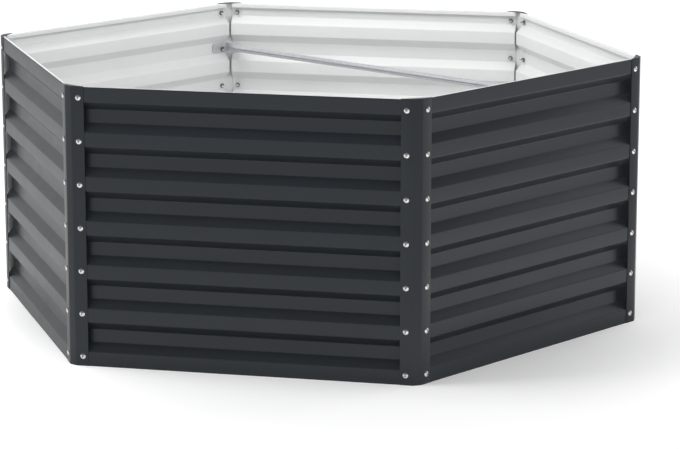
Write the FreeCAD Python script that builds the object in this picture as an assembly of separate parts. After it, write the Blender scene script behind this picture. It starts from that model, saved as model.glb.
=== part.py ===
import FreeCAD, Part
import math
import os

# Raised garden bed: six corrugated sheet-steel walls bolted to six bent corner
# posts, held square by two tubular struts. Millimetres, +Z up, origin on the
# ground at the middle of the bed, the front wall facing -Y.

# ---- The bed ----
SIDE_NAMES = ["front", "front_right", "back_right", "back", "back_left", "front_left"]
CORNER_NAMES = ["front_right", "right", "back_right", "back_left", "left", "front_left"]
SIDE_LENGTH = 747.0         # corner to corner, on the faces where posts and walls meet
BED_HEIGHT = 600.0          # ground to the top of the posts

# ---- Walls ----
WALL_SHEET = 0.8
CORRUGATIONS = 6            # valleys from the ground to the rim
CORRUGATION_DEPTH = 17.0
CREST_FLAT = 30.0           # height of an outer flat between two valleys
EDGE_CREST = 31.25          # height of the lowest and the highest outer flat
SLOPE_HEIGHT = 18.0         # height of the slope between a crest and a valley
WALL_BEND = 4.0             # inside radius of the corrugation's bends
VALLEY_SPACING = 2.7        # valley's end to the line midway between two walls
HEM_WIDTH = 9.0             # rim folded inwards over this width
HEM_DROP = 10.0             # height of the rim's inner leg

# ---- Corner posts ----
POST_SHEET = 1.2
POST_FLANGE = 37.5          # corner line to the flange's edge
POST_BEND = 21.0            # inside radius of the corner
CAP_SETBACK = 2.5           # flange's edge to the end of the cap's inner edge
CAP_GAP = 0.3               # rim to the underside of the cap

# ---- Screws and nuts ----
LOW_SCREW_DROP = 10.25      # first slope down to the lowest screw
HIGH_SCREW_RISE = 8.5       # last slope up to the highest screw
SCREW_WIDTH = 6.0           # shanks, bores and holes are drawn square
SCREW_LENGTH = 14.0         # under the head
HEAD_DIAMETER = 12.0
HEAD_TOP_DIAMETER = 8.0
HEAD_HEIGHT = 3.6
HEAD_SIDES = 8
HOLE_CLEARANCE = 0.3        # all round, in posts, walls and strut tabs
NUT_WIDTH = 10.0            # across flats
NUT_HEIGHT = 5.0
NUT_CLEARANCE = 0.05

# ---- Struts ----
STRUT_ROW = 5               # screw row that holds them, counted from the lowest as 0
STRUT_SIDE = 1              # side that both struts meet squarely, counted from the front
TUBE_DIAMETER = 16.0
TUBE_WALL = 1.5
SEAM_GAP = 1.5              # open seam of the rolled tube
STRUT_INSET = 12.0          # corner line to the tube's axis
TAB_THICKNESS = 3.0         # two layers of the flattened tube
TAB_MARGIN = 3.0            # tab's edges to the slopes above and below
TAB_REACH = 58.0            # corner line to the tab's end
TAB_BEND = 5.0
TAB_LEG = 3.0               # straight part between the bend and the neck
TAB_CORNER = 5.0            # cut off each free corner
NECK_LENGTH = 32.0          # from the round tube to the flat

# ---- Worked out from these ----
SIDES = len(SIDE_NAMES)
TURN = 360.0 / SIDES
HALF_TURN = math.radians(TURN / 2)
HALF_SIDE = SIDE_LENGTH / 2
CORNER_RADIUS = HALF_SIDE / math.sin(HALF_TURN)
APOTHEM = HALF_SIDE / math.tan(HALF_TURN)
WALL_HEIGHT = BED_HEIGHT - POST_SHEET - CAP_GAP
WALL_END_GAP = (CORRUGATION_DEPTH + WALL_SHEET) * math.tan(HALF_TURN) + VALLEY_SPACING
PITCH = (WALL_HEIGHT - 2 * EDGE_CREST + CREST_FLAT) / CORRUGATIONS
POST_CURVE_END = (POST_BEND + 2 * POST_SHEET) * math.tan(HALF_TURN)
SCREW_INSET = (POST_CURVE_END + POST_FLANGE) / 2
SCREW_ROWS = CORRUGATIONS + 1
LOWEST_SCREW = EDGE_CREST - LOW_SCREW_DROP
HIGHEST_SCREW = WALL_HEIGHT - EDGE_CREST + HIGH_SCREW_RISE
ROW_PITCH = (HIGHEST_SCREW - LOWEST_SCREW) / (SCREW_ROWS - 1)
HOLE_WIDTH = SCREW_WIDTH + 2 * HOLE_CLEARANCE
STRUT_HEIGHT = EDGE_CREST + STRUT_ROW * PITCH - CREST_FLAT / 2
TAB_HEIGHT = CREST_FLAT - 2 * TAB_MARGIN
WALL_INSIDE = WALL_SHEET - APOTHEM
TAB_INSIDE = WALL_INSIDE + TAB_THICKNESS

ORIGIN = FreeCAD.Vector(0, 0, 0)
UP = FreeCAD.Vector(0, 0, 1)
INWARDS = FreeCAD.Vector(0, 1, 0)    # on the front side


# ---- Sheet-metal sections ----

def unit(start, end):
    step = end - start
    return step / step.Length


def left_of(direction):
    return FreeCAD.Vector(-direction.y, direction.x, 0)


def offset_corners(points, distance):
    """Corners of the same path moved to its left, mitred at each bend."""
    moved = [points[0] + left_of(unit(points[0], points[1])) * distance]
    for before, here, after in zip(points, points[1:], points[2:]):
        side_in = left_of(unit(before, here))
        side_out = left_of(unit(here, after))
        moved.append(here + (side_in + side_out) * (distance / (1 + side_in.dot(side_out))))
    moved.append(points[-1] + left_of(unit(points[-2], points[-1])) * distance)
    return moved


def bend_points(before, here, after, radius):
    """Start, middle and end of the arc that rounds one corner."""
    come = unit(before, here)
    leave = unit(here, after)
    half_bend = come.getAngle(leave) / 2
    reach = radius * math.tan(half_bend)
    to_centre = unit(come, leave)
    middle = here + to_centre * (radius / math.cos(half_bend) - radius)
    return here - come * reach, middle, here + leave * reach


def rounded_chain(points, radii, with_arcs):
    """Lines through the points, each inner one rounded by an arc or cut by the arc's chord."""
    edges = []
    start = points[0]
    for before, here, after, radius in zip(points, points[1:], points[2:], radii):
        if radius == 0:
            edges.append(Part.makeLine(start, here))
            start = here
            continue
        bend_start, middle, bend_end = bend_points(before, here, after, radius)
        edges.append(Part.makeLine(start, bend_start))
        if with_arcs:
            edges.append(Part.Arc(bend_start, middle, bend_end).toShape())
        else:
            edges.append(Part.makeLine(bend_start, bend_end))
        start = bend_end
    edges.append(Part.makeLine(start, points[-1]))
    return edges


def face_within(edges):
    return Part.Face(Part.Wire(Part.__sortEdges__(edges)))


def sheet_section(points, thickness, inside_radii, with_arcs=True):
    """Section of a bent sheet: one face follows the points, the body lies on their left."""
    far = offset_corners(points, thickness)
    near_radii = []
    far_radii = []
    for before, here, after, inside in zip(points, points[1:], points[2:], inside_radii):
        outside = inside + thickness if inside else 0
        turns_left = left_of(unit(before, here)).dot(unit(here, after)) > 0
        near_radii.append(outside if turns_left else inside)
        far_radii.append(inside if turns_left else outside)
    edges = rounded_chain(points, near_radii, with_arcs)
    edges += rounded_chain(far, far_radii, with_arcs)
    edges.append(Part.makeLine(points[0], far[0]))
    edges.append(Part.makeLine(points[-1], far[-1]))
    return face_within(edges)


# ---- Places around the bed ----

def turned(shape, steps):
    """The shape turned about the bed's middle by whole sides."""
    copy = shape.copy()
    copy.rotate(ORIGIN, UP, TURN * steps)
    return copy


def screw_place(row, hand):
    """Where a screw crosses the front side's outer face; hand is 1 at the right end, else -1."""
    height = LOWEST_SCREW + row * ROW_PITCH
    return FreeCAD.Vector(hand * (HALF_SIDE - SCREW_INSET), -APOTHEM, height)


def square_bar(width, length):
    """Bar along +Y from the origin, with level flats."""
    return Part.makeBox(width, length, width, FreeCAD.Vector(-width / 2, 0, -width / 2))


def front_drills():
    """Bars that cut every screw hole of the front side through post, wall and strut tab."""
    reach = POST_SHEET + HEAD_HEIGHT
    drill = square_bar(HOLE_WIDTH, SCREW_LENGTH + reach)
    drill.translate(INWARDS * -reach)
    drills = []
    for row in range(SCREW_ROWS):
        for hand in (-1, 1):
            drills.append(drill.translated(screw_place(row, hand)))
    return drills


# ---- Walls ----

def wall_outline():
    """Outer face of a wall from the ground to the rim, as (outwards, up)."""
    points = [(0, 0)]
    for valley in range(CORRUGATIONS):
        crest_end = EDGE_CREST + valley * PITCH
        next_crest = crest_end + PITCH - CREST_FLAT
        points.append((0, crest_end))
        points.append((-CORRUGATION_DEPTH, crest_end + SLOPE_HEIGHT))
        points.append((-CORRUGATION_DEPTH, next_crest - SLOPE_HEIGHT))
        points.append((0, next_crest))
    points.append((0, WALL_HEIGHT))
    points.append((-HEM_WIDTH, WALL_HEIGHT))
    points.append((-HEM_WIDTH, WALL_HEIGHT - HEM_DROP))
    return [FreeCAD.Vector(out, up, 0) for out, up in points]


def make_front_wall():
    """Corrugated sheet, its bends drawn as chords, with a folded rim and a hole per screw."""
    bends = [WALL_BEND] * (4 * CORRUGATIONS)
    folds = [0, 0]
    section = sheet_section(wall_outline(), WALL_SHEET, bends + folds, with_arcs=False)
    length = SIDE_LENGTH - 2 * WALL_END_GAP
    wall = section.extrude(FreeCAD.Vector(0, 0, length))
    # Stand the section up: outwards becomes -Y, up becomes +Z, the length runs along X.
    stand = FreeCAD.Matrix(0, 0, -1, length / 2,
                           -1, 0, 0, -APOTHEM,
                           0, 1, 0, 0,
                           0, 0, 0, 1)
    return wall.transformed(stand).cut(front_drills())


# ---- Corner posts ----

def corner_path(reach):
    """Outer faces of the right corner's two flanges, along the level."""
    corner = FreeCAD.Vector(CORNER_RADIUS, 0, 0)
    legs = [FreeCAD.Vector(-math.sin(HALF_TURN), hand * math.cos(HALF_TURN), 0) for hand in (-1, 1)]
    return offset_corners([corner + legs[0] * reach, corner, corner + legs[1] * reach], -POST_SHEET)


def make_right_post():
    """Bent strip with a flat cap that closes the corner's top."""
    strip = sheet_section(corner_path(POST_FLANGE), POST_SHEET, [POST_BEND])
    rim = rounded_chain(corner_path(POST_FLANGE - CAP_SETBACK), [POST_BEND + POST_SHEET], True)
    rim.append(Part.makeLine(rim[-1].lastVertex().Point, rim[0].firstVertex().Point))
    cap = face_within(rim).extrude(UP * POST_SHEET)
    cap.translate(UP * (BED_HEIGHT - POST_SHEET))
    post = strip.extrude(UP * BED_HEIGHT).fuse(cap).removeSplitter()
    # The right corner lies between the sides one and two steps round from the front.
    drills = [turned(drill, step) for step in (1, 2) for drill in front_drills()]
    return post.cut(drills).Solids[0]


# ---- Screws and nuts ----

def level_corners(sides, radius, along):
    """Corners of a regular polygon across Y, with a level flat on top."""
    corners = []
    for step in range(sides):
        angle = math.pi / 2 + math.pi / sides * (2 * step + 1)
        corners.append(FreeCAD.Vector(radius * math.cos(angle), along, radius * math.sin(angle)))
    return corners


def flat_face(corners):
    return Part.Face(Part.makePolygon(corners + corners[:1]))


def make_screw():
    """Pan-head screw along +Y, its head's underside at the origin."""
    rim = level_corners(HEAD_SIDES, HEAD_DIAMETER / 2, 0)
    top = level_corners(HEAD_SIDES, HEAD_TOP_DIAMETER / 2, -HEAD_HEIGHT)
    faces = [flat_face(rim), flat_face(top)]
    for step in range(HEAD_SIDES):
        faces.append(flat_face([rim[step - 1], rim[step], top[step], top[step - 1]]))
    head = Part.Solid(Part.Shell(faces))
    head.fix(0.001, 0.001, 0.001)
    return head.fuse(square_bar(SCREW_WIDTH, SCREW_LENGTH)).removeSplitter()


def make_nut():
    """Hexagon nut along +Y from the origin."""
    corner_reach = NUT_WIDTH / 2 / math.cos(math.pi / 6)
    nut = flat_face(level_corners(6, corner_reach, 0)).extrude(INWARDS * NUT_HEIGHT)
    return nut.cut(square_bar(SCREW_WIDTH + 2 * NUT_CLEARANCE, NUT_HEIGHT))


def holds_strut(side, row):
    return row == STRUT_ROW and side % (SIDES // 2) == STRUT_SIDE


def corner_group(piece, corner, depth_at):
    """A copy of the piece at each screw of one corner, depth_at(side, row) inside the outer face."""
    pieces = []
    for side, hand in ((corner, 1), ((corner + 1) % SIDES, -1)):
        for row in range(SCREW_ROWS):
            place = screw_place(row, hand) + INWARDS * depth_at(side, row)
            pieces.append(turned(piece.translated(place), side))
    return Part.makeCompound(pieces)


def head_depth(side, row):
    return -POST_SHEET


def nut_depth(side, row):
    return WALL_SHEET + (TAB_THICKNESS if holds_strut(side, row) else 0)


# ---- Struts ----

def round_section(along):
    """Outline of the tube across Y, as four arcs from the lower right."""
    radius = TUBE_DIAMETER / 2
    edges = []
    for quarter in range(4):
        spots = []
        for share in (0, 0.5, 1):
            angle = math.radians(-45 + 90 * (quarter + share))
            spots.append(FreeCAD.Vector(radius * math.cos(angle), along, radius * math.sin(angle)))
        edges.append(Part.Arc(*spots).toShape())
    return Part.Wire(edges)


def flat_section(along):
    """Outline of the flattened tube across Y, edge for edge like the round one."""
    half = TAB_THICKNESS / 2
    high = TAB_HEIGHT / 2
    corners = [FreeCAD.Vector(x, along, z) for x, z in
               [(half, -high), (half, high), (-half, high), (-half, -high), (half, -high)]]
    return Part.makePolygon(corners)


def make_strut_end():
    """Neck and bent tab at the -Y end, the tube's axis on the Y axis."""
    flat_start = TAB_INSIDE + TAB_BEND + TAB_LEG
    neck = Part.makeLoft([round_section(flat_start + NECK_LENGTH), flat_section(flat_start)],
                         True, True)
    free_end = STRUT_INSET - TAB_REACH
    path = [FreeCAD.Vector(free_end, WALL_INSIDE, 0),
            FreeCAD.Vector(TAB_THICKNESS / 2, WALL_INSIDE, 0),
            FreeCAD.Vector(TAB_THICKNESS / 2, flat_start, 0)]
    tab = sheet_section(path, TAB_THICKNESS, [TAB_BEND]).extrude(UP * TAB_HEIGHT)
    tab.translate(UP * (-TAB_HEIGHT / 2))
    corners = [edge for edge in tab.Edges
               if edge.BoundBox.XMax < free_end + 0.01 and edge.BoundBox.ZLength < 0.01]
    return neck.fuse(tab.makeChamfer(TAB_CORNER, corners))


def make_right_strut():
    """Strut that meets the front and the back wall near their right ends."""
    tube_start = TAB_INSIDE + TAB_BEND + TAB_LEG + NECK_LENGTH
    tube_length = -2 * tube_start
    start = INWARDS * tube_start
    tube = Part.makeCylinder(TUBE_DIAMETER / 2, tube_length, start, INWARDS)
    tube = tube.cut(Part.makeCylinder(TUBE_DIAMETER / 2 - TUBE_WALL, tube_length, start, INWARDS))
    seam = Part.makeBox(TUBE_DIAMETER, tube_length, SEAM_GAP,
                        start - FreeCAD.Vector(TUBE_DIAMETER, 0, SEAM_GAP / 2))
    end = make_strut_end()
    strut = tube.cut(seam).fuse([end, end.mirror(ORIGIN, INWARDS)]).removeSplitter()
    strut.translate(FreeCAD.Vector(HALF_SIDE - STRUT_INSET, 0, STRUT_HEIGHT))
    return strut.cut(front_drills() + [turned(drill, SIDES // 2) for drill in front_drills()])


# ---- The whole bed ----

def make_parts():
    parts = {}
    wall = make_front_wall()
    for step, name in enumerate(SIDE_NAMES):
        parts["wall_" + name] = turned(wall, step)
    post = make_right_post()
    screw = make_screw()
    nut = make_nut()
    for corner, name in enumerate(CORNER_NAMES):
        parts["corner_post_" + name] = turned(post, corner - 1)
        parts["screws_" + name] = corner_group(screw, corner, head_depth)
        parts["nuts_" + name] = corner_group(nut, corner, nut_depth)
    strut = make_right_strut()
    parts["strut_back"] = turned(strut, STRUT_SIDE)
    parts["strut_front"] = turned(strut, STRUT_SIDE + SIDES // 2)
    return parts


def main():
    os.makedirs("parts", exist_ok=True)
    for name, shape in make_parts().items():
        shape.exportStep("parts/" + name + ".step")


main()
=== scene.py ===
import math

import bmesh
import bpy
from mathutils import Matrix, Vector, noise


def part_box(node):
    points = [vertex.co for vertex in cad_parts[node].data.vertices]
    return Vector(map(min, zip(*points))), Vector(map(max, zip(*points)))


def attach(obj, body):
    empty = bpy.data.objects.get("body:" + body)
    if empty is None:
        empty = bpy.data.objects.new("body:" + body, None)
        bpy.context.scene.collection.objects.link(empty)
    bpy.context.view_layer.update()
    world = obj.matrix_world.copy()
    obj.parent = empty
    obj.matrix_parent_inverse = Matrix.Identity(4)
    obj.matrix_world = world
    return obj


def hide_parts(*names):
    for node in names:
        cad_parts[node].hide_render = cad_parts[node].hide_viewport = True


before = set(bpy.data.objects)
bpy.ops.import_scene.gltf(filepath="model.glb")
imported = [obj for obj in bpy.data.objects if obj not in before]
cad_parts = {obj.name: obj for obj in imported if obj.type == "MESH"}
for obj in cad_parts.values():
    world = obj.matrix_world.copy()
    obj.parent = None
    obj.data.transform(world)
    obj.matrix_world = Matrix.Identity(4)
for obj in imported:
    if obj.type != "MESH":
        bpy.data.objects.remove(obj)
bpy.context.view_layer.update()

# ---------------------------------------------------------------------------
# Sizes, in metres. What the frame's boxes give is worked out from them; the
# rest is real sheet-metal and fastener sizes.
# ---------------------------------------------------------------------------
MM = 0.001
ROUNDING = 0.01 * MM         # lengths that differ by less count as equal
SIDES = ["front", "front_right", "back_right", "back", "back_left", "front_left"]
CORNERS = ["front_right", "right", "back_right", "back_left", "left", "front_left"]
TURN = math.radians(60)

wall_low, wall_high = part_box("wall_front")
BED_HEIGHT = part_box("corner_post_right")[1].z
APOTHEM = -wall_low.y
HALF_SIDE = APOTHEM * math.tan(TURN / 2)
WALL_HEIGHT = wall_high.z
WALL_LENGTH = wall_high.x - wall_low.x
WALL_SHEET = 0.8 * MM
VALLEY_DEPTH = wall_high.y - wall_low.y - WALL_SHEET

VALLEYS = 6
CREST_FLAT = 30.0 * MM
EDGE_CREST = 31.25 * MM      # height of the lowest and the highest outer flat
SLOPE_HEIGHT = 18.0 * MM
WALL_BEND = 4.0 * MM         # inside radius, as all the bends here
WALL_BEND_STEPS = 6
HEM_WIDTH = 9.0 * MM
HEM_DROP = 10.0 * MM
HEM_BEND = 2.0 * MM
PITCH = (WALL_HEIGHT - 2 * EDGE_CREST + CREST_FLAT) / VALLEYS
WALL_STATIONS = 36
WALL_WAVE = 0.30 * MM        # how far a flat strays from true
WAVE_START = 36.0 * MM       # from the wall's end to where the wave sets in
WAVE_RISE = 60.0 * MM        # over which it grows to its full size
WAVES_ALONG = 5.5            # noise cells per metre of length
WAVES_UP = 16.0              # and per metre of height
WAVE_SHIFT = 0.5             # keeps most of it on the inward side of true
WAVE_SEED = 9.0              # step through the noise from one wall to the next

POST_SHEET = 1.2 * MM
POST_FLANGE = 37.5 * MM      # corner line to the flange's edge
POST_BEND = 21.0 * MM        # the one bend that the flat nose stands for
CAP_REACH = 35.0 * MM        # corner line to the end of the cap's inner edge
POST_NOSE_BEND = 7.0 * MM    # the two bends beside the flat nose
POST_BEND_STEPS = 5
POST_EDGE = 0.35 * MM        # rounding of the post's cut edges
POST_CURVE_END = (POST_BEND + 2 * POST_SHEET) * math.tan(TURN / 2)

SCREW_ROWS = VALLEYS + 1
LOW_SCREW_DROP = 10.25 * MM  # first slope down to the lowest screw
HIGH_SCREW_RISE = 8.5 * MM   # last slope up to the highest screw
LOWEST_SCREW = EDGE_CREST - LOW_SCREW_DROP
HIGHEST_SCREW = WALL_HEIGHT - EDGE_CREST + HIGH_SCREW_RISE
ROW_PITCH = (HIGHEST_SCREW - LOWEST_SCREW) / (SCREW_ROWS - 1)
SCREW_INSET = (POST_CURVE_END + POST_FLANGE) / 2
SCREW_SEGMENTS = 28
HEAD_RADIUS = 6.0 * MM
HEAD_HEIGHT = 3.6 * MM
HEAD_RIM = 0.9 * MM          # height of the head's upright rim, below the dome
HEAD_EDGE = 0.15 * MM        # chamfer under the rim
DOME_STEPS = 8
CROSS_HALF_LENGTH = 2.3 * MM
CROSS_HALF_WIDTH = 0.6 * MM
CROSS_DEPTH = 2.3 * MM
CROSS_FLARE = 1.25           # share of its size that the cutter has above the head
CROSS_TAPER = 0.45           # and at the recess's bottom
SHANK_RADIUS = 3.0 * MM
SCREW_LENGTH = 14.0 * MM     # under the head
THREAD_PITCH = 1.0 * MM
THREAD_DEPTH = 0.5 * MM
SPIN_SIDE_STEP = 3.1         # steps through the noise that turns each screw
SPIN_ROW_STEP = 7.7
NUT_SEGMENTS = 36
NUT_ACROSS = 10.0 * MM       # across flats
NUT_HEIGHT = 5.0 * MM
NUT_CHAMFER = 0.7 * MM
NUT_FACE_SHARE = 0.97        # round face's radius as a share of the hexagon's inner one
NUT_CLEARANCE = 0.05 * MM
NUT_MOUTH = 0.5 * MM         # chamfer at the mouth of the bore

STRUT_ROW = 5
STRUT_SIDES = {"back": 1, "front": 4}    # the side each strut's right end is on
STRUT_HEIGHT = EDGE_CREST + STRUT_ROW * PITCH - CREST_FLAT / 2
STRUT_INSET = 12.0 * MM      # corner line to the tube's axis
TUBE_RADIUS = 8.0 * MM
TUBE_WALL = 1.5 * MM
TUBE_SAMPLES = 44            # points round the tube, less one
SEAM_GAP = 1.5 * MM
TAB_THICKNESS = 3.0 * MM     # two layers of the flattened tube
TAB_HEIGHT = 24.0 * MM
TAB_REACH = 58.0 * MM        # corner line to the tab's free end
TAB_BEND = 5.0 * MM
TAB_BEND_STEPS = 8
TAB_LEG = 3.0 * MM           # straight part between the bend and the neck
TAB_CORNER = 5.0 * MM        # cut off each free corner
TAB_SHARES = (0.35, 0.7, 1)  # where sections stand along the cut corner and the tab
TAB_ROUNDNESS = 0.25         # exponent that keeps the pressed section flat almost to its edges
TAB_GAP = 0.04 * MM          # half the gap between the tab's two layers
NECK_LENGTH = 32.0 * MM      # from the tab to the round tube
NECK_STEPS = 12

SHARP = math.radians(32)     # edges that turn by more than this are drawn crisp
SCREW_SHARP = math.radians(40)
NUT_SHARP = math.radians(20)


# ---------------------------------------------------------------------------
# Materials
# ---------------------------------------------------------------------------

def linear(*srgb):
    """Display values 0 to 255 as a linear colour."""
    def channel(value):
        share = value / 255
        return share / 12.92 if share <= 0.04045 else ((share + 0.055) / 1.055) ** 2.4
    return tuple(channel(value) for value in srgb) + (1.0,)


def shade(color, factor):
    """The colour made darker or lighter by a factor."""
    return tuple(value * factor for value in color[:3]) + (1.0,)


BUMP_STRENGTH = 0.5
DUST_COLOR = linear(150, 148, 142)
SMUDGE = 0.02                # how far smudges change the coat's roughness
TARNISH_ROUGHNESS = 0.18     # how much rougher the dull patches of the zinc are


class Surface:
    """A principled material and short ways to wire nodes into it."""

    def __init__(self, name, **constants):
        self.material = bpy.data.materials.new(name)
        self.material.use_nodes = True
        self.nodes = self.material.node_tree.nodes
        self.links = self.material.node_tree.links
        self.shader = self.nodes["Principled BSDF"]
        for socket, value in constants.items():
            self.shader.inputs[socket.replace("_", " ")].default_value = value
        self.place = self.nodes.new("ShaderNodeTexCoord").outputs["Object"]

    def add(self, kind, inputs=None, **settings):
        node = self.nodes.new(kind)
        for key, value in settings.items():
            setattr(node, key, value)
        for key, value in (inputs or {}).items():
            if isinstance(value, bpy.types.NodeSocket):
                self.links.new(value, node.inputs[key])
            else:
                node.inputs[key].default_value = value
        return node

    def noise(self, scale, detail, roughness=0.55, stretch=(1, 1, 1)):
        spot = self.add("ShaderNodeMapping", {"Vector": self.place, "Scale": stretch})
        node = self.add("ShaderNodeTexNoise", {"Vector": spot.outputs["Vector"], "Scale": scale,
                                               "Detail": detail, "Roughness": roughness})
        return node.outputs["Fac"]

    def ramp(self, value, low, high, to_low=0.0, to_high=1.0):
        node = self.add("ShaderNodeMapRange", {"Value": value, "From Min": low, "From Max": high,
                                               "To Min": to_low, "To Max": to_high})
        return node.outputs["Result"]

    def times(self, one, other):
        return self.add("ShaderNodeMath", {0: one, 1: other}, operation="MULTIPLY").outputs[0]

    def blend(self, share, one, other):
        """One colour, or the other where the share is 1. Sockets 6 and 7 take the colours."""
        node = self.add("ShaderNodeMix", data_type="RGBA")
        for key, value in (("Factor", share), (6, one), (7, other)):
            if isinstance(value, bpy.types.NodeSocket):
                self.links.new(value, node.inputs[key])
            else:
                node.inputs[key].default_value = value
        return node.outputs[2]

    def feed(self, socket, value):
        self.links.new(value, self.shader.inputs[socket])

    def bump(self, height, depth):
        node = self.add("ShaderNodeBump", {"Height": height, "Distance": depth,
                                           "Strength": BUMP_STRENGTH})
        self.feed("Normal", node.outputs["Normal"])


def coat_material(name, color, roughness, mottle, dust):
    """Baked coat: faint mottling, orange peel, smudged gloss and a breath of dust on its slopes."""
    surface = Surface(name, IOR=1.44)
    cloud = surface.noise(scale=7.0, detail=6.0)
    tint = surface.blend(surface.ramp(cloud, 0.3, 0.7), shade(color, 1 - mottle), shade(color, 1 + mottle))
    upward = surface.add("ShaderNodeSeparateXYZ",
                         {0: surface.add("ShaderNodeNewGeometry").outputs["Normal"]}).outputs["Z"]
    grains = surface.ramp(surface.noise(scale=420.0, detail=2.0), 0.5, 0.75)
    settled = surface.times(surface.times(surface.ramp(upward, 0.2, 0.95), grains), dust)
    surface.feed("Base Color", surface.blend(settled, tint, DUST_COLOR))
    smudge = surface.noise(scale=16.0, detail=5.0, roughness=0.65)
    surface.feed("Roughness", surface.ramp(smudge, 0.25, 0.75, roughness - SMUDGE, roughness + SMUDGE))
    surface.bump(surface.noise(scale=750.0, detail=2.0), depth=0.012 * MM)
    return surface.material


def zinc_material(name, value, roughness, tarnish):
    """Zinc plate: bright, brushed a little, duller in patches."""
    surface = Surface(name, Metallic=1.0)
    patch = surface.ramp(surface.noise(scale=260.0, detail=5.0), 0.35, 0.7)
    bright = linear(value, value, value - 1)
    surface.feed("Base Color", surface.blend(patch, bright, shade(bright, 1 - tarnish)))
    surface.feed("Roughness", surface.ramp(patch, 0.0, 1.0, roughness, roughness + TARNISH_ROUGHNESS))
    surface.bump(surface.noise(scale=2600.0, detail=2.0, stretch=(1, 1, 4)), depth=0.02 * MM)
    return surface.material


def galvanised_material():
    """Hot-dip zinc: flat crystals of differing grey with matt bloom between."""
    surface = Surface("galvanised", Metallic=0.35)
    crystals = surface.add("ShaderNodeTexVoronoi", {"Vector": surface.place, "Scale": 190.0})
    tone = surface.add("ShaderNodeSeparateColor", {0: crystals.outputs["Color"]}).outputs["Red"]
    bloom = surface.noise(scale=45.0, detail=6.0)
    base = surface.blend(surface.ramp(tone, 0.0, 1.0), linear(193, 195, 200), linear(209, 210, 214))
    surface.feed("Base Color", surface.blend(surface.ramp(bloom, 0.4, 0.75, 0.0, 0.5),
                                             base, linear(203, 204, 206)))
    surface.feed("Roughness", surface.ramp(tone, 0.0, 1.0, 0.48, 0.62))
    surface.bump(surface.noise(scale=600.0, detail=3.0), depth=0.03 * MM)
    return surface.material


ANTHRACITE = coat_material("anthracite_coat", linear(35, 41, 47), roughness=0.33, mottle=0.05, dust=0.04)
LIGHT_COAT = coat_material("light_coat", linear(228, 229, 229), roughness=0.46, mottle=0.015, dust=0.03)
# Bare zinc of the sheets' cut edges, made darker than zinc so that it also paints the shadow line where a
# wall ends at a post.
CUT_EDGE_AND_SHADE = zinc_material("cut_edge_and_shade", 96, roughness=0.45, tarnish=0.3)
SCREW_ZINC = zinc_material("screw_zinc", 238, roughness=0.13, tarnish=0.08)
# Dark zinc in the screws' cross recess: painted shade, far darker than the head's own plating.
RECESS_PAINTED_SHADE = zinc_material("recess_painted_shade", 92, roughness=0.55, tarnish=0.4)
NUT_ZINC = zinc_material("nut_zinc", 150, roughness=0.34, tarnish=0.3)
GALVANISED = galvanised_material()


# ---------------------------------------------------------------------------
# Mesh helpers
# ---------------------------------------------------------------------------

OUTSIDE, INSIDE, EDGE = range(3)    # a sheet's faces, in the order of its materials


def left_of(direction):
    return Vector((-direction.y, direction.x))


def offset_path(points, distance):
    """The path moved to its left, mitred at each corner."""
    moved = [points[0] + left_of((points[1] - points[0]).normalized()) * distance]
    for before, here, after in zip(points, points[1:], points[2:]):
        side_in = left_of((here - before).normalized())
        side_out = left_of((after - here).normalized())
        moved.append(here + (side_in + side_out) * (distance / (1 + side_in.dot(side_out))))
    moved.append(points[-1] + left_of((points[-1] - points[-2]).normalized()) * distance)
    return moved


def rounded_path(points, radii, steps):
    """The path with an arc of its own radius, in that many steps, at each inner point."""
    path = [points[0]]
    for before, here, after, radius in zip(points, points[1:], points[2:], radii):
        come = (here - before).normalized()
        leave = (after - here).normalized()
        bend = come.angle_signed(leave)
        start = here - come * radius * math.tan(abs(bend) / 2)
        side = left_of(come) * (1 if left_of(come).dot(leave) > 0 else -1)
        centre = start + side * radius
        for step in range(steps + 1):
            angle = abs(bend) * step / steps
            path.append(centre - side * radius * math.cos(angle) + come * radius * math.sin(angle))
    path.append(points[-1])
    return path


def bent_sheet(points, thickness, inside_radii, steps):
    """Both faces of a bent sheet as paths of equal length; the body lies left of the points."""
    near_radii = []
    far_radii = []
    for before, here, after, inside in zip(points, points[1:], points[2:], inside_radii):
        turns_left = left_of(here - before).dot(after - here) > 0
        near_radii.append(inside + thickness if turns_left else inside)
        far_radii.append(inside if turns_left else inside + thickness)
    near = rounded_path(points, near_radii, steps)
    far = rounded_path(offset_path(points, thickness), far_radii, steps)
    return near, far


def add_ring(mesh, places):
    return [mesh.verts.new(place) for place in places]


def bridge(mesh, one, other, material=0, closed=True):
    """Quads between two rings of vertices."""
    last = len(one) if closed else len(one) - 1
    faces = []
    for index in range(last):
        after = (index + 1) % len(one)
        face = mesh.faces.new([one[index], one[after], other[after], other[index]])
        face.material_index = material
        face.smooth = True
        faces.append(face)
    return faces


def flat_fill(mesh, verts, material=0):
    face = mesh.faces.new(verts)
    face.material_index = material


def finished_object(name, mesh, materials, turn=0.0, sharp=SHARP):
    """Turns a bmesh into a shaded object, turned about the bed's middle."""
    bmesh.ops.recalc_face_normals(mesh, faces=mesh.faces)
    for edge in mesh.edges:
        if len(edge.link_faces) == 2 and edge.calc_face_angle(0.0) > sharp:
            edge.smooth = False
    bmesh.ops.transform(mesh, matrix=Matrix.Rotation(turn, 4, "Z"), verts=mesh.verts)
    data = bpy.data.meshes.new(name)
    mesh.to_mesh(data)
    mesh.free()
    for material in materials:
        data.materials.append(material)
    piece = bpy.data.objects.new(name, data)
    bpy.context.scene.collection.objects.link(piece)
    return piece


def dress(piece, node):
    """The piece stands for a node of the frame: it hangs from the root body and the CAD part is hidden."""
    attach(piece, "root")
    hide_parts(node)


# ---------------------------------------------------------------------------
# Walls
# ---------------------------------------------------------------------------

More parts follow.
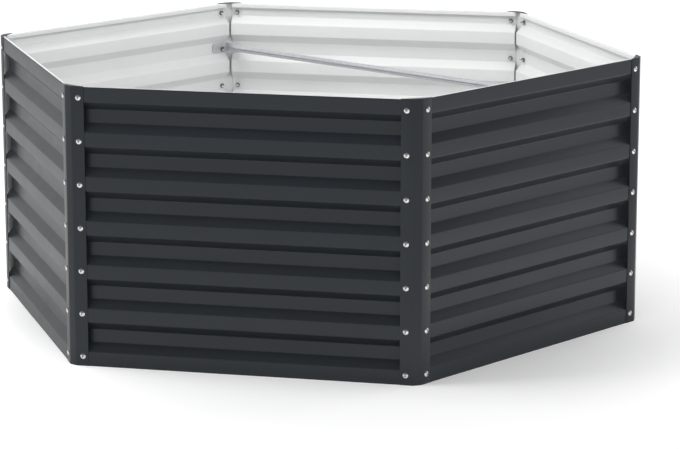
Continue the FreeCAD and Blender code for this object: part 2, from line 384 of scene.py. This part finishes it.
def wall_outline():
    """Outer face of a wall from the ground to the rim, as (outwards, up)."""
    points = [(0, 0)]
    for valley in range(VALLEYS):
        crest_end = EDGE_CREST + valley * PITCH
        next_crest = crest_end + PITCH - CREST_FLAT
        points += [(0, crest_end), (-VALLEY_DEPTH, crest_end + SLOPE_HEIGHT),
                   (-VALLEY_DEPTH, next_crest - SLOPE_HEIGHT), (0, next_crest)]
    points += [(0, WALL_HEIGHT), (-HEM_WIDTH, WALL_HEIGHT), (-HEM_WIDTH, WALL_HEIGHT - HEM_DROP)]
    return [Vector(point) for point in points]


def wall_wave(along, up, seed):
    """How far the sheet stands inwards of true: nothing where the posts grip it."""
    growth = (WALL_LENGTH / 2 - abs(along) - WAVE_START) / WAVE_RISE
    swell = noise.noise(Vector((along * WAVES_ALONG, up * WAVES_UP, seed)))
    return WALL_WAVE * min(1.0, max(0.0, growth)) * (WAVE_SHIFT + swell)


def wall_section(path, along, seed):
    """Places of the path's points at one station along the wall."""
    places = []
    for point in path:
        below_rim = point.y < WALL_HEIGHT - HEM_BEND
        inwards = wall_wave(along, point.y, seed) if below_rim else 0
        places.append((along, -APOTHEM - point.x + inwards, point.y))
    return places


def make_wall(name, step):
    """Corrugated sheet with a folded rim: dark outside, light inside and past the rim's outer bend."""
    bends = [WALL_BEND] * (4 * VALLEYS) + [HEM_BEND, HEM_BEND]
    outer, inner = bent_sheet(wall_outline(), WALL_SHEET, bends, WALL_BEND_STEPS)
    bend_end = HEM_BEND + WALL_SHEET - ROUNDING
    hem_start = max(index for index, point in enumerate(outer) if point.x > -bend_end)
    mesh = bmesh.new()
    outer_rings = []
    inner_rings = []
    for station in range(WALL_STATIONS + 1):
        along = WALL_LENGTH * (station / WALL_STATIONS - 0.5)
        outer_rings.append(add_ring(mesh, wall_section(outer, along, WAVE_SEED * step)))
        inner_rings.append(add_ring(mesh, wall_section(inner, along, WAVE_SEED * step)))
    for one, other in zip(outer_rings, outer_rings[1:]):
        for index, face in enumerate(bridge(mesh, one, other, OUTSIDE, closed=False)):
            face.material_index = INSIDE if index >= hem_start else OUTSIDE
    for one, other in zip(inner_rings, inner_rings[1:]):
        bridge(mesh, one, other, INSIDE, closed=False)
    for outer_ring, inner_ring in ((outer_rings[0], inner_rings[0]), (outer_rings[-1], inner_rings[-1])):
        bridge(mesh, outer_ring, inner_ring, EDGE, closed=False)
    for index in (0, -1):
        bridge(mesh, [ring[index] for ring in outer_rings], [ring[index] for ring in inner_rings],
               EDGE, closed=False)
    for edge in mesh.edges:
        if len({face.material_index for face in edge.link_faces}) > 1:
            edge.smooth = False
    piece = finished_object("wall_" + name + "_pressed", mesh, [ANTHRACITE, LIGHT_COAT, CUT_EDGE_AND_SHADE],
                            TURN * step)
    dress(piece, "wall_" + name)


# ---------------------------------------------------------------------------
# Corner posts
# ---------------------------------------------------------------------------

def corner_points():
    """Outer faces of the right corner's two flanges and its flat nose, seen from above."""
    corner = Vector((2 * HALF_SIDE, 0))
    legs = [Vector((-math.sin(TURN / 2), hand * math.cos(TURN / 2))) for hand in (-1, 1)]
    inside = [corner + legs[0] * POST_FLANGE, corner, corner + legs[1] * POST_FLANGE]
    ends = offset_path(inside, -POST_SHEET)
    curve_end = (POST_BEND + POST_SHEET) * math.tan(TURN / 2)
    cut = curve_end - (POST_NOSE_BEND + POST_SHEET) * math.tan(TURN / 4)
    return [ends[0], ends[1] + legs[0] * cut, ends[1] + legs[1] * cut, ends[2]]


def at_height(path, height):
    return [(point.x, point.y, height) for point in path]


def make_post(name, step):
    """Bent strip whose top is closed by a three-cornered cap."""
    outer, inner = bent_sheet(corner_points(), POST_SHEET, [POST_NOSE_BEND] * 2, POST_BEND_STEPS)
    taper = POST_SHEET / math.tan(TURN / 2)
    along = [(inner[0] - inner[1]).normalized(), (inner[-1] - inner[-2]).normalized()]
    low_cross = inner[0] - along[0] * (POST_FLANGE - CAP_REACH + taper)
    high_cross = inner[-1] - along[1] * (POST_FLANGE - CAP_REACH + taper)
    inner = [inner[0], low_cross] + inner[1:-1] + [high_cross, inner[-1]]
    mesh = bmesh.new()
    under = BED_HEIGHT - POST_SHEET
    outer_low = add_ring(mesh, at_height(outer, 0))
    outer_top = add_ring(mesh, at_height(outer, BED_HEIGHT))
    inner_low = add_ring(mesh, at_height(inner, 0))
    inner_high = add_ring(mesh, at_height(inner, under))
    inner_top = add_ring(mesh, at_height(inner[:2] + inner[-2:], BED_HEIGHT))
    bridge(mesh, outer_low, outer_top, OUTSIDE, closed=False)
    bridge(mesh, inner_low, inner_high, INSIDE, closed=False)
    bridge(mesh, inner_high[:2], inner_top[:2], INSIDE, closed=False)
    bridge(mesh, inner_high[-2:], inner_top[-2:], INSIDE, closed=False)
    flat_fill(mesh, outer_low + inner_low[::-1], OUTSIDE)
    flat_fill(mesh, outer_top + inner_top[::-1], OUTSIDE)
    flat_fill(mesh, inner_high[1:-1], INSIDE)
    flat_fill(mesh, [inner_high[1], inner_high[-2], inner_top[2], inner_top[1]], OUTSIDE)
    for outer_end, inner_end in ((0, 0), (-1, -1)):
        flat_fill(mesh, [outer_low[outer_end], outer_top[outer_end], inner_top[inner_end],
                         inner_high[inner_end], inner_low[inner_end]], OUTSIDE)
    bmesh.ops.recalc_face_normals(mesh, faces=mesh.faces)
    tops = set(outer_top)
    crisp = [edge for edge in mesh.edges if edge.verts[0] in tops and edge.verts[1] in tops]
    crisp += [edge for edge in mesh.edges if set(edge.verts) in (
        {outer_low[0], outer_top[0]}, {outer_low[-1], outer_top[-1]}, {inner_top[1], inner_top[2]})]
    bmesh.ops.bevel(mesh, geom=crisp, offset=POST_EDGE, segments=2, affect="EDGES", profile=0.5)
    piece = finished_object("corner_post_" + name + "_bent", mesh, [ANTHRACITE, LIGHT_COAT],
                            TURN * (step - 1))
    dress(piece, "corner_post_" + name)


# ---------------------------------------------------------------------------
# Screws and nuts
# ---------------------------------------------------------------------------

def revolve(mesh, profile, segments):
    """Closed body of revolution about Y from (radius, along) points, pointed at both ends."""
    rings = []
    for radius, along in profile[1:-1]:
        ring = []
        for step in range(segments):
            angle = 2 * math.pi * step / segments
            ring.append((radius * math.cos(angle), along, radius * math.sin(angle)))
        rings.append(add_ring(mesh, ring))
    for one, other in zip(rings, rings[1:]):
        bridge(mesh, one, other)
    for ring, (_, along) in ((rings[0], profile[0]), (rings[-1], profile[-1])):
        tip = mesh.verts.new((0, along, 0))
        for one, other in zip(ring, ring[1:] + ring[:1]):
            mesh.faces.new([one, other, tip]).smooth = True


def screw_profile():
    """Pan head, shank and the threaded end, as (radius, along), head upwards at -Y."""
    dome = HEAD_HEIGHT - HEAD_RIM
    sphere = (HEAD_RADIUS ** 2 + dome ** 2) / (2 * dome)
    half = math.asin(HEAD_RADIUS / sphere)
    profile = [(0, -HEAD_HEIGHT)]
    for step in range(1, DOME_STEPS + 1):
        angle = half * step / DOME_STEPS
        profile.append((sphere * math.sin(angle), -HEAD_HEIGHT + sphere * (1 - math.cos(angle))))
    profile += [(HEAD_RADIUS, -HEAD_EDGE), (HEAD_RADIUS - HEAD_EDGE, 0), (SHANK_RADIUS, 0)]
    along = POST_SHEET + WALL_SHEET
    while along < SCREW_LENGTH - THREAD_PITCH:
        profile.append((SHANK_RADIUS, along))
        profile.append((SHANK_RADIUS - THREAD_DEPTH, along + THREAD_PITCH / 2))
        along += THREAD_PITCH
    profile += [(SHANK_RADIUS - THREAD_DEPTH, SCREW_LENGTH), (0, SCREW_LENGTH)]
    return profile


def cross_cutter():
    """Tapered cross that cuts the recess, from a millimetre above the head. Its dark material paints shade
    into the recess.
    """
    mesh = bmesh.new()
    for turn in (0, math.pi / 2):
        rings = []
        for along, share in ((-HEAD_HEIGHT - MM, CROSS_FLARE), (-HEAD_HEIGHT + CROSS_DEPTH, CROSS_TAPER)):
            half_length = CROSS_HALF_LENGTH * share
            half_width = CROSS_HALF_WIDTH * (0.5 + share / 2)
            ring = []
            for x, z in ((-1, -1), (1, -1), (1, 1), (-1, 1)):
                spot = Vector((x * half_length, 0, z * half_width))
                spot.rotate(Matrix.Rotation(turn, 3, "Y"))
                ring.append((spot.x, along, spot.z))
            rings.append(add_ring(mesh, ring))
        bridge(mesh, rings[0], rings[1])
        flat_fill(mesh, rings[0])
        flat_fill(mesh, rings[1])
    for face in mesh.faces:
        face.smooth = False
    return finished_object("cross_cutter", mesh, [RECESS_PAINTED_SHADE])


def make_screw_mesh():
    """One screw along +Y, its head's underside at the origin."""
    mesh = bmesh.new()
    revolve(mesh, screw_profile(), SCREW_SEGMENTS)
    blank = finished_object("screw_blank", mesh, [SCREW_ZINC, RECESS_PAINTED_SHADE], sharp=SCREW_SHARP)
    cutter = cross_cutter()
    cut = blank.modifiers.new("recess_painted_shade", "BOOLEAN")
    cut.operation = "DIFFERENCE"
    cut.solver = "EXACT"
    cut.use_self = True
    cut.material_mode = "TRANSFER"
    cut.object = cutter
    data = bpy.data.meshes.new_from_object(blank.evaluated_get(bpy.context.evaluated_depsgraph_get()))
    bpy.data.objects.remove(blank)
    bpy.data.objects.remove(cutter)
    return data


def hexagon_radius(angle):
    """Distance to a regular hexagon's edge, flats level."""
    turn = (angle + math.pi / 6) % (math.pi / 3) - math.pi / 6
    return NUT_ACROSS / 2 / math.cos(turn)


def make_nut_mesh():
    """Hexagon nut along +Y from the origin, its corners chamfered on both faces."""
    mesh = bmesh.new()
    angles = [2 * math.pi * step / NUT_SEGMENTS for step in range(NUT_SEGMENTS)]
    hexagon = [hexagon_radius(angle + math.pi / 6) for angle in angles]
    round_face = [NUT_ACROSS / 2 * NUT_FACE_SHARE] * NUT_SEGMENTS
    bore = [SHANK_RADIUS + NUT_CLEARANCE] * NUT_SEGMENTS
    mouth = [SHANK_RADIUS + NUT_CLEARANCE + NUT_MOUTH] * NUT_SEGMENTS
    profile = [(0, round_face), (NUT_CHAMFER, hexagon), (NUT_HEIGHT - NUT_CHAMFER, hexagon),
               (NUT_HEIGHT, round_face), (NUT_HEIGHT, mouth), (NUT_HEIGHT - NUT_MOUTH, bore), (0, bore)]
    rings = []
    for along, radii in profile:
        rings.append(add_ring(mesh, [(radius * math.cos(angle), along, radius * math.sin(angle))
                                     for radius, angle in zip(radii, angles)]))
    for one, other in zip(rings, rings[1:] + rings[:1]):
        bridge(mesh, one, other)
    blank = finished_object("nut_blank", mesh, [NUT_ZINC], sharp=NUT_SHARP)
    data = blank.data
    bpy.data.objects.remove(blank)
    return data


def holds_strut(side, row):
    return row == STRUT_ROW and side in STRUT_SIDES.values()


def corner_group(name, corner, data, depth, tab_depth, varied):
    """Copies of a fastener at each screw of one corner. Where a strut's tab is, they stand further in
    by tab_depth, and varied ones are each turned on their own axis by another angle."""
    mesh = bmesh.new()
    for side, hand in ((corner, 1), ((corner + 1) % len(SIDES), -1)):
        for row in range(SCREW_ROWS):
            inwards = depth + (tab_depth if holds_strut(side, row) else 0)
            place = Vector((hand * (HALF_SIDE - SCREW_INSET), -APOTHEM + inwards,
                            LOWEST_SCREW + row * ROW_PITCH))
            cell = Vector((side * SPIN_SIDE_STEP, row * SPIN_ROW_STEP, hand + 1))
            spin = 2 * math.pi * noise.cell(cell) if varied else 0.0
            copy = data.copy()
            copy.transform(Matrix.Rotation(TURN * side, 4, "Z") @ Matrix.Translation(place)
                           @ Matrix.Rotation(spin, 4, "Y"))
            mesh.from_mesh(copy)
            bpy.data.meshes.remove(copy)
    joined = bpy.data.meshes.new(name)
    mesh.to_mesh(joined)
    mesh.free()
    for material in data.materials:
        joined.materials.append(material)
    piece = bpy.data.objects.new(name, joined)
    bpy.context.scene.collection.objects.link(piece)
    return piece


def make_fasteners():
    screw = make_screw_mesh()
    nut = make_nut_mesh()
    for corner, name in enumerate(CORNERS):
        screws = corner_group("screws_" + name + "_cross", corner, screw, -POST_SHEET,
                              tab_depth=0, varied=True)
        dress(screws, "screws_" + name)
        nuts = corner_group("nuts_" + name + "_hexagon", corner, nut, WALL_SHEET,
                            tab_depth=TAB_THICKNESS, varied=False)
        dress(nuts, "nuts_" + name)


# ---------------------------------------------------------------------------
# Struts
# ---------------------------------------------------------------------------

def strut_stations():
    """Where the strut's sections stand: (centre, direction, flatness, half height) from one tab's
    free end to the round end of its neck, the tube's axis along Y through the origin."""
    wall_face = -APOTHEM + WALL_SHEET
    tab_line = wall_face + TAB_THICKNESS / 2
    free_end = STRUT_INSET - TAB_REACH
    bend_radius = TAB_BEND + TAB_THICKNESS / 2
    bend_start = -bend_radius
    stations = []
    for share in (0,) + TAB_SHARES:
        across = free_end + TAB_CORNER * share
        stations.append((Vector((across, tab_line)), Vector((1, 0)), 1.0,
                         TAB_HEIGHT / 2 - TAB_CORNER * (1 - share)))
    corner_end = free_end + TAB_CORNER
    for share in TAB_SHARES:
        across = corner_end + (bend_start - corner_end) * share
        stations.append((Vector((across, tab_line)), Vector((1, 0)), 1.0, TAB_HEIGHT / 2))
    for step in range(1, TAB_BEND_STEPS + 1):
        angle = math.pi / 2 * step / TAB_BEND_STEPS
        centre = Vector((bend_start + bend_radius * math.sin(angle),
                         tab_line + bend_radius * (1 - math.cos(angle))))
        stations.append((centre, Vector((math.cos(angle), math.sin(angle))), 1.0, TAB_HEIGHT / 2))
    neck_start = tab_line + bend_radius + TAB_LEG
    for step in range(NECK_STEPS + 1):
        share = step / NECK_STEPS
        flatness = 1 - share * share * (3 - 2 * share)
        stations.append((Vector((0, neck_start + NECK_LENGTH * share)), Vector((0, 1)),
                         flatness, TAB_HEIGHT / 2))
    return stations


def strut_section(flatness, half_height, radius, half_flat):
    """Points (across, up) round one skin of the open tube, from seam edge to seam edge.
    The seam lies on the -across side."""
    seam = math.asin(SEAM_GAP / 2 / TUBE_RADIUS)
    points = []
    for step in range(TUBE_SAMPLES + 1):
        angle = math.pi + seam + (2 * math.pi - 2 * seam) * step / TUBE_SAMPLES
        round_point = Vector((radius * math.cos(angle), radius * math.sin(angle)))
        across = math.copysign(abs(math.cos(angle)) ** TAB_ROUNDNESS, math.cos(angle)) * half_flat
        flat_point = Vector((across, math.sin(angle) * half_height))
        points.append(round_point.lerp(flat_point, flatness))
    return points


def make_strut(name, step):
    """Rolled tube with both ends pressed flat and bent into tabs against two opposite walls."""
    stations = strut_stations()
    mirrored = [(Vector((centre.x, -centre.y)), Vector((-direction.x, direction.y)), flat, half)
                for centre, direction, flat, half in reversed(stations)]
    mesh = bmesh.new()
    rings = []
    shift = Vector((HALF_SIDE - STRUT_INSET, 0))
    for centre, direction, flatness, half_height in stations + mirrored:
        across = Vector((direction.y, -direction.x))
        outer = strut_section(flatness, half_height, TUBE_RADIUS, TAB_THICKNESS / 2)
        inner = strut_section(flatness, half_height - TUBE_WALL, TUBE_RADIUS - TUBE_WALL, TAB_GAP)
        places = []
        for point in outer + inner[::-1]:
            spot = centre + shift + across * point.x
            places.append((spot.x, spot.y, STRUT_HEIGHT + point.y))
        rings.append(add_ring(mesh, places))
    for one, other in zip(rings, rings[1:]):
        bridge(mesh, one, other)
    flat_fill(mesh, rings[0])
    flat_fill(mesh, rings[-1])
    piece = finished_object("strut_" + name + "_rolled", mesh, [GALVANISED], TURN * step)
    dress(piece, "strut_" + name)


# ---------------------------------------------------------------------------
# Floor, light and camera
# ---------------------------------------------------------------------------

FLOOR_SIZE = 30.0
FLOOR_SEEN = 1.06            # the floor's shade in view
FLOOR_BOUNCE = 0.6           # the floor's shade for the light it throws back
FLOOR_IN_GLOSS = 0.62        # where reflections of the floor stand between the two
BED_MIDDLE = (0, 0, 0)
POOL_GLOW = 0.28             # a pool of painted light round the bed that only reflections pick up: painted sheen on the walls
POOL_START = (0.75, 0.95)    # distances from the bed's middle over which it sets in
POOL_MIDDLE = (0.45, 0.2, 0)
POOL_END = (1.15, 1.8)       # distances from its own middle over which it fades
FAR_GLOW = 0.25              # painted glow that keeps the floor white in view, away from the shadow
SHADE_MIDDLE = (0.42, -0.75, 0)
SHADE_REACH = (0.25, 1.25)   # distances from the middle of the painted shadow over which the glow sets in
BED_EDGE = (0.62, 0.75)      # none nearer to the bed's middle than the first, all past the second
WORLD_STRENGTH = 0.81
ZENITH_GLOSS = 0.16          # how bright the ceiling stands in reflections
CEILING_BAND = (0.02, 0.45)  # upward part of the directions over which it darkens
FULL_SPREAD = 180            # degrees
LAMPS = [                    # name, place, target, side, power, spread, seen in reflections
    ("key", (-1.6, -0.7, 3.9), (0, 0, 0.3), 1.8, 52.0, FULL_SPREAD, False),
    ("bowl_left", (-1.3, -1.0, 2.2), (0.45, 0.35, 0.45), 0.9, 1.5, 50, False),
    ("bowl_right", (1.3, -1.0, 2.2), (-0.45, 0.35, 0.45), 0.9, 1.5, 50, False),
    ("rim", (1.75, 1.05, 1.2), (0.75, 0, 0.35), 0.8, 2.0, FULL_SPREAD, True),
]
CAMERA_PLACE = Vector((1.45, -6.12, 1.5686))
CAMERA_HEADING = math.radians(12.771)
CAMERA_TILT = math.radians(12.414)
PHOTO_WIDTH = 680
FOCAL_PIXELS = 2802.0
SENSOR_WIDTH = 36.0          # millimetres
CAMERA_REACH = 100.0


def seen_directly(tree, in_gloss):
    """1 for camera and transmission rays, in_gloss for glossy rays, 0 for those that light the bed."""
    path = tree.nodes.new("ShaderNodeLightPath")
    total = path.outputs["Is Camera Ray"]
    for name, share in (("Is Glossy Ray", in_gloss), ("Is Transmission Ray", 1.0)):
        node = tree.nodes.new("ShaderNodeMath")
        node.operation = "MULTIPLY_ADD"
        node.inputs[1].default_value = share
        tree.links.new(path.outputs[name], node.inputs[0])
        tree.links.new(total, node.inputs[2])
        total = node.outputs[0]
    return total


def floor_glow(tree, ray, ramps):
    """Glow that only one kind of ray sees, shaped by the distance from a place on the floor."""
    place = tree.nodes.new("ShaderNodeTexCoord")
    level = tree.nodes.new("ShaderNodeLightPath").outputs[ray]
    for middle, (near, far), at_near, at_far in ramps:
        distance = tree.nodes.new("ShaderNodeVectorMath")
        distance.operation = "DISTANCE"
        distance.inputs[1].default_value = middle
        tree.links.new(place.outputs["Object"], distance.inputs[0])
        ramp = tree.nodes.new("ShaderNodeMapRange")
        ramp.interpolation_type = "SMOOTHSTEP"
        for name, value in (("From Min", near), ("From Max", far), ("To Min", at_near), ("To Max", at_far)):
            ramp.inputs[name].default_value = value
        tree.links.new(distance.outputs["Value"], ramp.inputs["Value"])
        node = tree.nodes.new("ShaderNodeMath")
        node.operation = "MULTIPLY"
        tree.links.new(level, node.inputs[0])
        tree.links.new(ramp.outputs["Result"], node.inputs[1])
        level = node.outputs[0]
    glow = tree.nodes.new("ShaderNodeEmission")
    tree.links.new(level, glow.inputs["Strength"])
    return glow.outputs[0]


def make_floor():
    """Pale plane that keeps the bed's shadow only round a painted shadow's middle, where a camera-only glow
    paints it white away from there, and a pool of painted light for reflections.
    """
    mesh = bmesh.new()
    half = FLOOR_SIZE / 2
    corners = [(-half, -half, 0), (half, -half, 0), (half, half, 0), (-half, half, 0)]
    flat_fill(mesh, add_ring(mesh, corners))
    material = bpy.data.materials.new("pale_floor")
    material.use_nodes = True
    tree = material.node_tree
    tree.nodes.clear()
    diffuse = tree.nodes.new("ShaderNodeBsdfDiffuse")
    level = tree.nodes.new("ShaderNodeMapRange")
    level.inputs["To Min"].default_value = FLOOR_BOUNCE
    level.inputs["To Max"].default_value = FLOOR_SEEN
    tree.links.new(seen_directly(tree, FLOOR_IN_GLOSS), level.inputs["Value"])
    tree.links.new(level.outputs["Result"], diffuse.inputs["Color"])
    total = diffuse.outputs[0]
    pool = floor_glow(tree, "Is Glossy Ray", ((BED_MIDDLE, POOL_START, 0.0, POOL_GLOW),
                                              (POOL_MIDDLE, POOL_END, 1.0, 0.0)))
    far = floor_glow(tree, "Is Camera Ray", ((SHADE_MIDDLE, SHADE_REACH, 0.0, FAR_GLOW),
                                             (BED_MIDDLE, BED_EDGE, 0.0, 1.0)))
    for glow in (pool, far):
        both = tree.nodes.new("ShaderNodeAddShader")
        tree.links.new(total, both.inputs[0])
        tree.links.new(glow, both.inputs[1])
        total = both.outputs[0]
    output = tree.nodes.new("ShaderNodeOutputMaterial")
    tree.links.new(total, output.inputs["Surface"])
    finished_object("floor", mesh, [material])


def make_world():
    """White all round, with a darker ceiling for reflections and a plain level for the light."""
    world = bpy.data.worlds.new("studio")
    bpy.context.scene.world = world
    world.use_nodes = True
    tree = world.node_tree
    background = tree.nodes["Background"]
    direction = tree.nodes.new("ShaderNodeTexCoord")
    height = tree.nodes.new("ShaderNodeSeparateXYZ")
    tree.links.new(direction.outputs["Generated"], height.inputs[0])
    ceiling = tree.nodes.new("ShaderNodeMapRange")
    ceiling.inputs["From Min"].default_value = CEILING_BAND[0]
    ceiling.inputs["From Max"].default_value = CEILING_BAND[1]
    ceiling.inputs["To Min"].default_value = 1.0
    ceiling.inputs["To Max"].default_value = ZENITH_GLOSS
    tree.links.new(height.outputs["Z"], ceiling.inputs["Value"])
    shown = tree.nodes.new("ShaderNodeMath")
    shown.operation = "MAXIMUM"
    tree.links.new(tree.nodes.new("ShaderNodeLightPath").outputs["Is Camera Ray"], shown.inputs[0])
    tree.links.new(ceiling.outputs["Result"], shown.inputs[1])
    strength = tree.nodes.new("ShaderNodeMapRange")
    strength.inputs["To Min"].default_value = WORLD_STRENGTH
    tree.links.new(shown.outputs[0], strength.inputs["To Max"])
    tree.links.new(seen_directly(tree, 1.0), strength.inputs["Value"])
    tree.links.new(strength.outputs["Result"], background.inputs["Strength"])
    background.inputs["Color"].default_value = (1, 1, 1, 1)


def make_lamp(name, place, target, side, power, spread, in_gloss):
    data = bpy.data.lights.new(name, "AREA")
    data.shape = "SQUARE"
    data.size = side
    data.energy = power
    data.spread = math.radians(spread)
    lamp = bpy.data.objects.new(name, data)
    lamp.location = place
    lamp.visible_glossy = in_gloss
    lamp.rotation_mode = "QUATERNION"
    lamp.rotation_quaternion = (Vector(target) - Vector(place)).to_track_quat("-Z", "Y")
    bpy.context.scene.collection.objects.link(lamp)


def make_camera():
    data = bpy.data.cameras.new("camera")
    data.sensor_width = SENSOR_WIDTH
    data.lens = FOCAL_PIXELS / PHOTO_WIDTH * SENSOR_WIDTH
    data.clip_end = CAMERA_REACH
    camera = bpy.data.objects.new("camera", data)
    camera.location = CAMERA_PLACE
    camera.rotation_euler = (math.pi / 2 - CAMERA_TILT, 0, CAMERA_HEADING)
    bpy.context.scene.collection.objects.link(camera)
    bpy.context.scene.camera = camera


def main():
    for step, name in enumerate(SIDES):
        make_wall(name, step)
    for step, name in enumerate(CORNERS):
        make_post(name, step)
    make_fasteners()
    for name, step in STRUT_SIDES.items():
        make_strut(name, step)
    make_floor()
    make_world()
    for lamp in LAMPS:
        make_lamp(*lamp)
    make_camera()
    bpy.context.scene.view_settings.view_transform = "Standard"


main()
